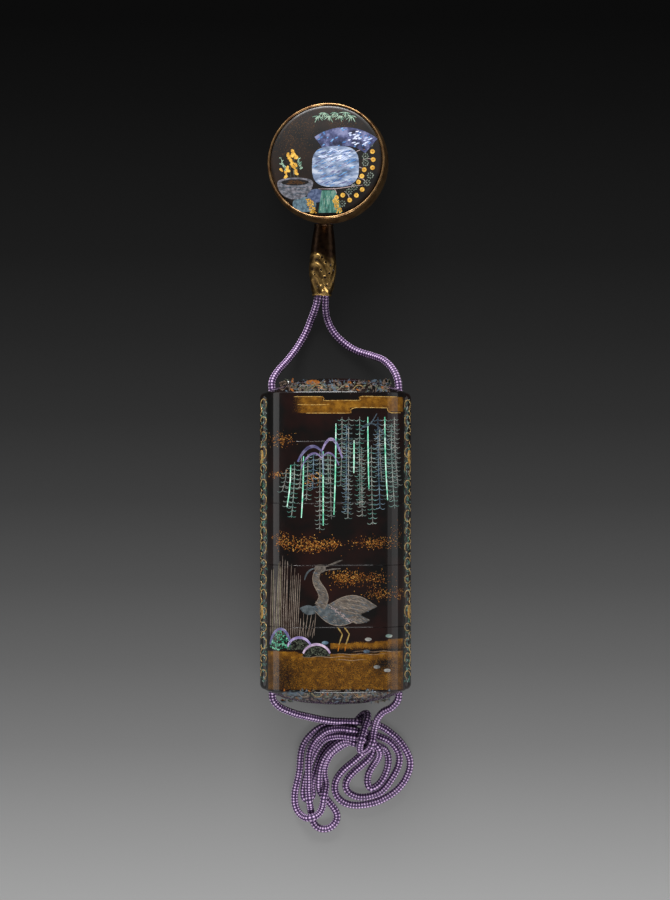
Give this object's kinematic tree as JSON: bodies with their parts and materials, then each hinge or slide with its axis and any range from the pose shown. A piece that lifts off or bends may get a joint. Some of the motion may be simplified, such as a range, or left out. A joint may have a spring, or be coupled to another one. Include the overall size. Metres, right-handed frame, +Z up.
{
  "type": "inro case with netsuke and ojime",
  "caption": "Lacquered oval stacking case with a lift-off lid, strung on a braided silk cord with a metal bead and a round toggle, lying on its back.",
  "frame": {"origin": "on the surface that the object lies on, under the middle of the stack of cases, in the flat band along its back", "axes": "+X across the cases, +Y along them towards the lid and the toggle, +Z up, out of the decorated front"},
  "size_m": [0.0453, 0.2133, 0.0228],
  "materials": {
    "lacquer": "black-brown lacquer with gold dust and shell inlay, polished",
    "rim": "gold-brown lacquer, satin",
    "plate": "black-brown lacquer with shell inlay, polished",
    "bead": "dark patinated bronze with gilt relief",
    "silk": "braided silk in purple and lilac"
  },
  "bodies": {
    "root": {"case_lid": "lacquer", "case_tier_1": "lacquer", "case_tier_2": "lacquer", "case_tier_3": "lacquer", "case_bottom": "lacquer", "netsuke_bowl": "rim", "netsuke_plate": "plate", "ojime_bead": "bead", "cord_left": "silk", "cord_right": "silk", "cord_end_knot": "silk", "cord_hank_left": "silk", "cord_hank_right": "silk", "cord_tie": "silk"}
  },
  "joints": []
}
